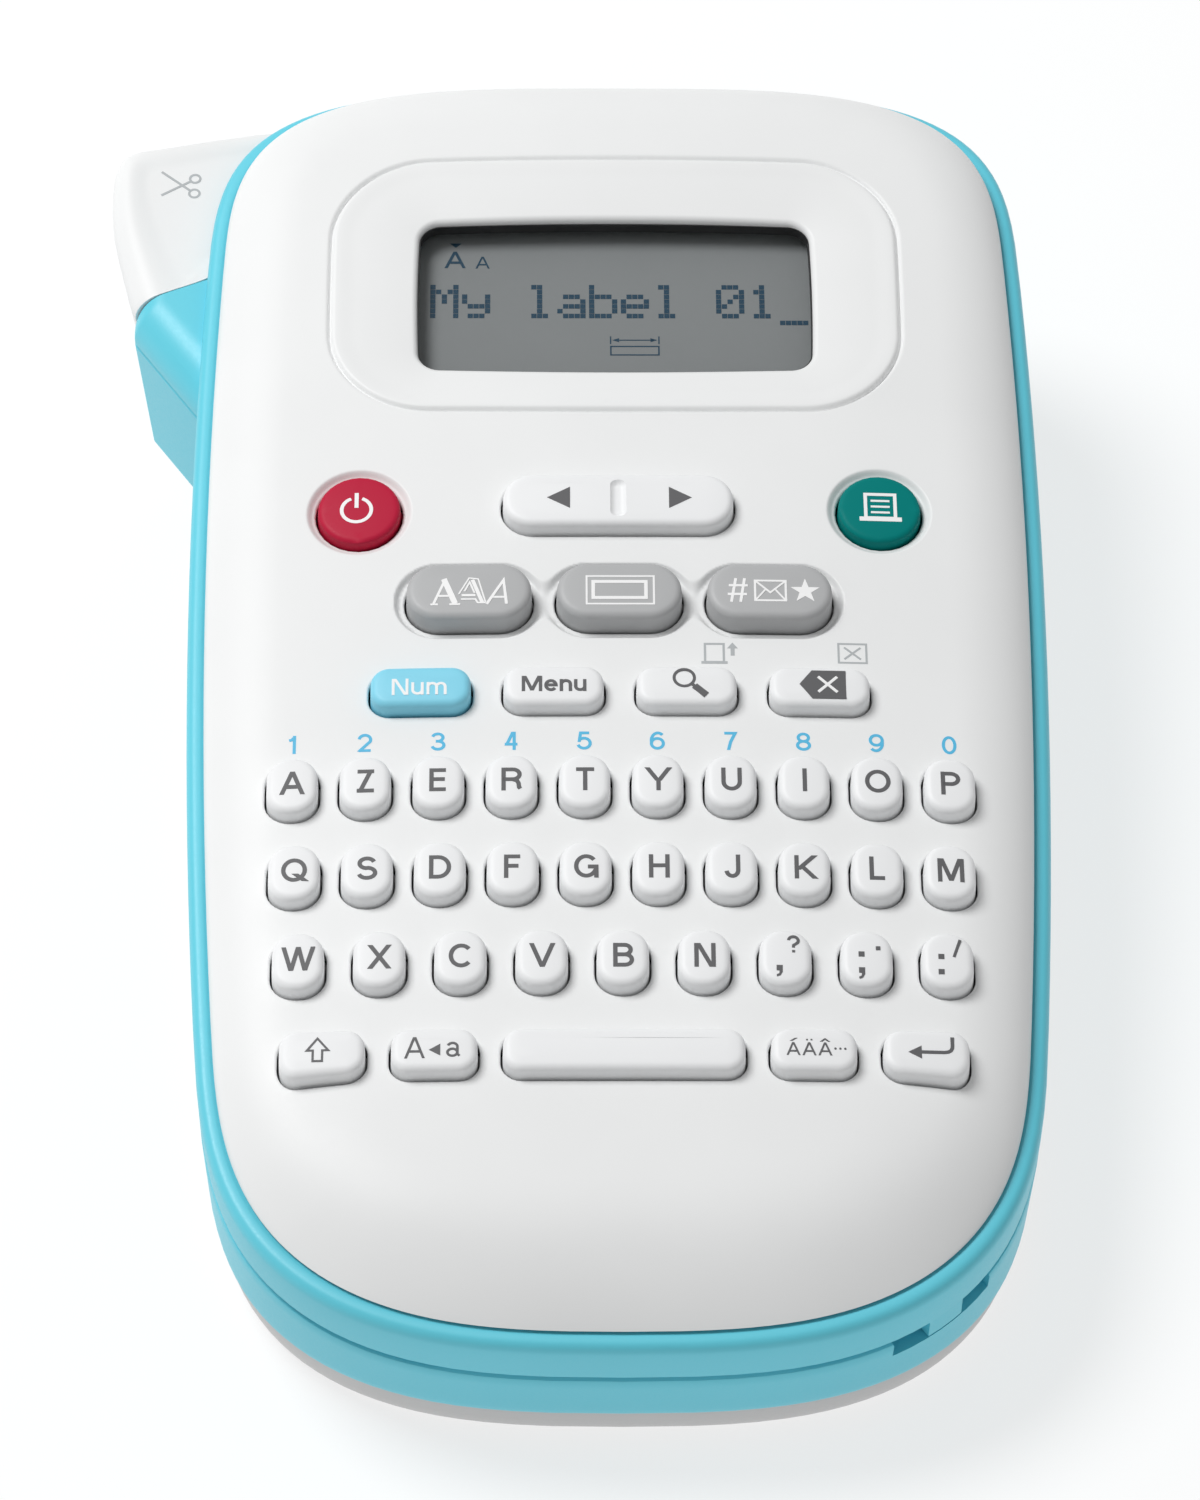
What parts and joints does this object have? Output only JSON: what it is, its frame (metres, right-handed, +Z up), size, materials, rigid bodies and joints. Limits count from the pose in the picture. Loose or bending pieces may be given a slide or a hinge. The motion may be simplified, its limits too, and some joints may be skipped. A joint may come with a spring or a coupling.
{
  "type": "label maker",
  "caption": "Handheld label maker: wedge-shaped body with a key field, a display window, a side cutter lever and a tape drive inside.",
  "frame": {"origin": "on the flat resting face of the back cover, on the centre line, midway along that face", "axes": "+X to the right of the key field, +Y from the space bar towards the display, +Z up out of the resting face"},
  "size_m": [0.1098, 0.1755, 0.0466],
  "materials": {
    "white_case": "satin moulded ABS, fine grain",
    "blue_case": "satin moulded ABS",
    "back_shell": "fine matt texture",
    "white_key": "smooth satin silicone with printed grey legends",
    "blue_key": "smooth satin silicone with a white legend",
    "grey_key": "smooth satin silicone with white legends",
    "red_key": "smooth, slightly glossy, white legend",
    "green_key": "smooth, slightly glossy, white legend",
    "window": "clear polished",
    "lcd": "grey liquid crystal cell, fine grain",
    "board": "green solder mask",
    "steel": "bright",
    "black_rubber": "matt ground rubber",
    "gear_plastic": "natural acetal",
    "cassette_plastic": "satin",
    "cell_sleeve": "printed film sleeve"
  },
  "bodies": {
    "case": {"front_cover": "white_case", "upper_case": "blue_case", "lower_case": "blue_case", "display_window": "window", "display_panel": "lcd", "circuit_board": "board", "print_head": "steel", "feed_motor": "steel", "tape_cassette": "cassette_plastic", "battery_row_left": "cell_sleeve", "battery_row_right": "cell_sleeve"},
    "back": {"back_cover": "back_shell"},
    "cutter": {"cutter_lever": "white_case", "cutter_blade": "steel"},
    "feed": {"platen_roller": "black_rubber", "feed_gear": "gear_plastic"},
    "key_a": {"key_a": "white_key"},
    "key_z": {"key_z": "white_key"},
    "key_e": {"key_e": "white_key"},
    "key_r": {"key_r": "white_key"},
    "key_t": {"key_t": "white_key"},
    "key_y": {"key_y": "white_key"},
    "key_u": {"key_u": "white_key"},
    "key_i": {"key_i": "white_key"},
    "key_o": {"key_o": "white_key"},
    "key_p": {"key_p": "white_key"},
    "key_q": {"key_q": "white_key"},
    "key_s": {"key_s": "white_key"},
    "key_d": {"key_d": "white_key"},
    "key_f": {"key_f": "white_key"},
    "key_g": {"key_g": "white_key"},
    "key_h": {"key_h": "white_key"},
    "key_j": {"key_j": "white_key"},
    "key_k": {"key_k": "white_key"},
    "key_l": {"key_l": "white_key"},
    "key_m": {"key_m": "white_key"},
    "key_w": {"key_w": "white_key"},
    "key_x": {"key_x": "white_key"},
    "key_c": {"key_c": "white_key"},
    "key_v": {"key_v": "white_key"},
    "key_b": {"key_b": "white_key"},
    "key_n": {"key_n": "white_key"},
    "key_comma": {"key_comma": "white_key"},
    "key_semicolon": {"key_semicolon": "white_key"},
    "key_colon": {"key_colon": "white_key"},
    "key_num": {"key_num": "blue_key"},
    "key_menu": {"key_menu": "white_key"},
    "key_preview": {"key_preview": "white_key"},
    "key_backspace": {"key_backspace": "white_key"},
    "key_style": {"key_style": "grey_key"},
    "key_frame": {"key_frame": "grey_key"},
    "key_symbol": {"key_symbol": "grey_key"},
    "key_shift": {"key_shift": "white_key"},
    "key_caps": {"key_caps": "white_key"},
    "key_space": {"key_space": "white_key"},
    "key_accent": {"key_accent": "white_key"},
    "key_enter": {"key_enter": "white_key"},
    "key_cursor": {"key_cursor": "white_key"},
    "key_power": {"key_power": "red_key"},
    "key_print": {"key_print": "green_key"}
  },
  "joints": [
    {"name": "cutter_squeeze", "type": "hinge", "parent": "case", "child": "cutter", "pos_m": [-0.047, 0.05424, 0.02469], "axis": [0, 0.1219, -0.9925], "range_deg": [0, 9], "stiffness_Nm_per_rad": 0.5},
    {"name": "back_cover_off", "type": "slide", "parent": "case", "child": "back", "axis": [0, 0, -1], "range_m": [0, 0.03]},
    {"name": "feed_turn", "type": "hinge", "parent": "case", "child": "feed", "pos_m": [-0.029, 0.06165, 0.02591], "axis": [0, -0.1219, 0.9925], "continuous": true},
    {"name": "key_cursor_rock", "type": "hinge", "parent": "case", "child": "key_cursor", "pos_m": [0.0001, 0.0147, 0.03697], "axis": [0, 0.9925, 0.1219], "range_deg": [-3, 3], "stiffness_Nm_per_rad": 0.08},
    {"name": "key_a_press", "type": "slide", "parent": "case", "child": "key_a", "axis": [0, 0.1219, -0.9925], "range_m": [0, 0.0008], "stiffness_N_per_m": 400},
    {"name": "key_z_press", "type": "slide", "parent": "case", "child": "key_z", "axis": [0, 0.1219, -0.9925], "range_m": [0, 0.0008], "stiffness_N_per_m": 400},
    {"name": "key_e_press", "type": "slide", "parent": "case", "child": "key_e", "axis": [0, 0.1219, -0.9925], "range_m": [0, 0.0008], "stiffness_N_per_m": 400},
    {"name": "key_r_press", "type": "slide", "parent": "case", "child": "key_r", "axis": [0, 0.1219, -0.9925], "range_m": [0, 0.0008], "stiffness_N_per_m": 400},
    {"name": "key_t_press", "type": "slide", "parent": "case", "child": "key_t", "axis": [0, 0.1219, -0.9925], "range_m": [0, 0.0008], "stiffness_N_per_m": 400},
    {"name": "key_y_press", "type": "slide", "parent": "case", "child": "key_y", "axis": [0, 0.1219, -0.9925], "range_m": [0, 0.0008], "stiffness_N_per_m": 400},
    {"name": "key_u_press", "type": "slide", "parent": "case", "child": "key_u", "axis": [0, 0.1219, -0.9925], "range_m": [0, 0.0008], "stiffness_N_per_m": 400},
    {"name": "key_i_press", "type": "slide", "parent": "case", "child": "key_i", "axis": [0, 0.1219, -0.9925], "range_m": [0, 0.0008], "stiffness_N_per_m": 400},
    {"name": "key_o_press", "type": "slide", "parent": "case", "child": "key_o", "axis": [0, 0.1219, -0.9925], "range_m": [0, 0.0008], "stiffness_N_per_m": 400},
    {"name": "key_p_press", "type": "slide", "parent": "case", "child": "key_p", "axis": [0, 0.1219, -0.9925], "range_m": [0, 0.0008], "stiffness_N_per_m": 400},
    {"name": "key_q_press", "type": "slide", "parent": "case", "child": "key_q", "axis": [0, 0.1219, -0.9925], "range_m": [0, 0.0008], "stiffness_N_per_m": 400},
    {"name": "key_s_press", "type": "slide", "parent": "case", "child": "key_s", "axis": [0, 0.1219, -0.9925], "range_m": [0, 0.0008], "stiffness_N_per_m": 400},
    {"name": "key_d_press", "type": "slide", "parent": "case", "child": "key_d", "axis": [0, 0.1219, -0.9925], "range_m": [0, 0.0008], "stiffness_N_per_m": 400},
    {"name": "key_f_press", "type": "slide", "parent": "case", "child": "key_f", "axis": [0, 0.1219, -0.9925], "range_m": [0, 0.0008], "stiffness_N_per_m": 400},
    {"name": "key_g_press", "type": "slide", "parent": "case", "child": "key_g", "axis": [0, 0.1219, -0.9925], "range_m": [0, 0.0008], "stiffness_N_per_m": 400},
    {"name": "key_h_press", "type": "slide", "parent": "case", "child": "key_h", "axis": [0, 0.1219, -0.9925], "range_m": [0, 0.0008], "stiffness_N_per_m": 400},
    {"name": "key_j_press", "type": "slide", "parent": "case", "child": "key_j", "axis": [0, 0.1219, -0.9925], "range_m": [0, 0.0008], "stiffness_N_per_m": 400},
    {"name": "key_k_press", "type": "slide", "parent": "case", "child": "key_k", "axis": [0, 0.1219, -0.9925], "range_m": [0, 0.0008], "stiffness_N_per_m": 400},
    {"name": "key_l_press", "type": "slide", "parent": "case", "child": "key_l", "axis": [0, 0.1219, -0.9925], "range_m": [0, 0.0008], "stiffness_N_per_m": 400},
    {"name": "key_m_press", "type": "slide", "parent": "case", "child": "key_m", "axis": [0, 0.1219, -0.9925], "range_m": [0, 0.0008], "stiffness_N_per_m": 400},
    {"name": "key_w_press", "type": "slide", "parent": "case", "child": "key_w", "axis": [0, 0.1219, -0.9925], "range_m": [0, 0.0008], "stiffness_N_per_m": 400},
    {"name": "key_x_press", "type": "slide", "parent": "case", "child": "key_x", "axis": [0, 0.1219, -0.9925], "range_m": [0, 0.0008], "stiffness_N_per_m": 400},
    {"name": "key_c_press", "type": "slide", "parent": "case", "child": "key_c", "axis": [0, 0.1219, -0.9925], "range_m": [0, 0.0008], "stiffness_N_per_m": 400},
    {"name": "key_v_press", "type": "slide", "parent": "case", "child": "key_v", "axis": [0, 0.1219, -0.9925], "range_m": [0, 0.0008], "stiffness_N_per_m": 400},
    {"name": "key_b_press", "type": "slide", "parent": "case", "child": "key_b", "axis": [0, 0.1219, -0.9925], "range_m": [0, 0.0008], "stiffness_N_per_m": 400},
    {"name": "key_n_press", "type": "slide", "parent": "case", "child": "key_n", "axis": [0, 0.1219, -0.9925], "range_m": [0, 0.0008], "stiffness_N_per_m": 400},
    {"name": "key_comma_press", "type": "slide", "parent": "case", "child": "key_comma", "axis": [0, 0.1219, -0.9925], "range_m": [0, 0.0008], "stiffness_N_per_m": 400},
    {"name": "key_semicolon_press", "type": "slide", "parent": "case", "child": "key_semicolon", "axis": [0, 0.1219, -0.9925], "range_m": [0, 0.0008], "stiffness_N_per_m": 400},
    {"name": "key_colon_press", "type": "slide", "parent": "case", "child": "key_colon", "axis": [0, 0.1219, -0.9925], "range_m": [0, 0.0008], "stiffness_N_per_m": 400},
    {"name": "key_num_press", "type": "slide", "parent": "case", "child": "key_num", "axis": [0, 0.1219, -0.9925], "range_m": [0, 0.0008], "stiffness_N_per_m": 400},
    {"name": "key_menu_press", "type": "slide", "parent": "case", "child": "key_menu", "axis": [0, 0.1219, -0.9925], "range_m": [0, 0.0008], "stiffness_N_per_m": 400},
    {"name": "key_preview_press", "type": "slide", "parent": "case", "child": "key_preview", "axis": [0, 0.1219, -0.9925], "range_m": [0, 0.0008], "stiffness_N_per_m": 400},
    {"name": "key_backspace_press", "type": "slide", "parent": "case", "child": "key_backspace", "axis": [0, 0.1219, -0.9925], "range_m": [0, 0.0008], "stiffness_N_per_m": 400},
    {"name": "key_style_press", "type": "slide", "parent": "case", "child": "key_style", "axis": [0, 0.1219, -0.9925], "range_m": [0, 0.0008], "stiffness_N_per_m": 400},
    {"name": "key_frame_press", "type": "slide", "parent": "case", "child": "key_frame", "axis": [0, 0.1219, -0.9925], "range_m": [0, 0.0008], "stiffness_N_per_m": 400},
    {"name": "key_symbol_press", "type": "slide", "parent": "case", "child": "key_symbol", "axis": [0, 0.1219, -0.9925], "range_m": [0, 0.0008], "stiffness_N_per_m": 400},
    {"name": "key_shift_press", "type": "slide", "parent": "case", "child": "key_shift", "axis": [0, 0.1219, -0.9925], "range_m": [0, 0.0008], "stiffness_N_per_m": 400},
    {"name": "key_caps_press", "type": "slide", "parent": "case", "child": "key_caps", "axis": [0, 0.1219, -0.9925], "range_m": [0, 0.0008], "stiffness_N_per_m": 400},
    {"name": "key_space_press", "type": "slide", "parent": "case", "child": "key_space", "axis": [0, 0.1219, -0.9925], "range_m": [0, 0.0008], "stiffness_N_per_m": 400},
    {"name": "key_accent_press", "type": "slide", "parent": "case", "child": "key_accent", "axis": [0, 0.1219, -0.9925], "range_m": [0, 0.0008], "stiffness_N_per_m": 400},
    {"name": "key_enter_press", "type": "slide", "parent": "case", "child": "key_enter", "axis": [0, 0.1219, -0.9925], "range_m": [0, 0.0008], "stiffness_N_per_m": 400},
    {"name": "key_power_press", "type": "slide", "parent": "case", "child": "key_power", "axis": [0, 0.1219, -0.9925], "range_m": [0, 0.0006], "stiffness_N_per_m": 400},
    {"name": "key_print_press", "type": "slide", "parent": "case", "child": "key_print", "axis": [0, 0.1219, -0.9925], "range_m": [0, 0.0006], "stiffness_N_per_m": 400}
  ]
}
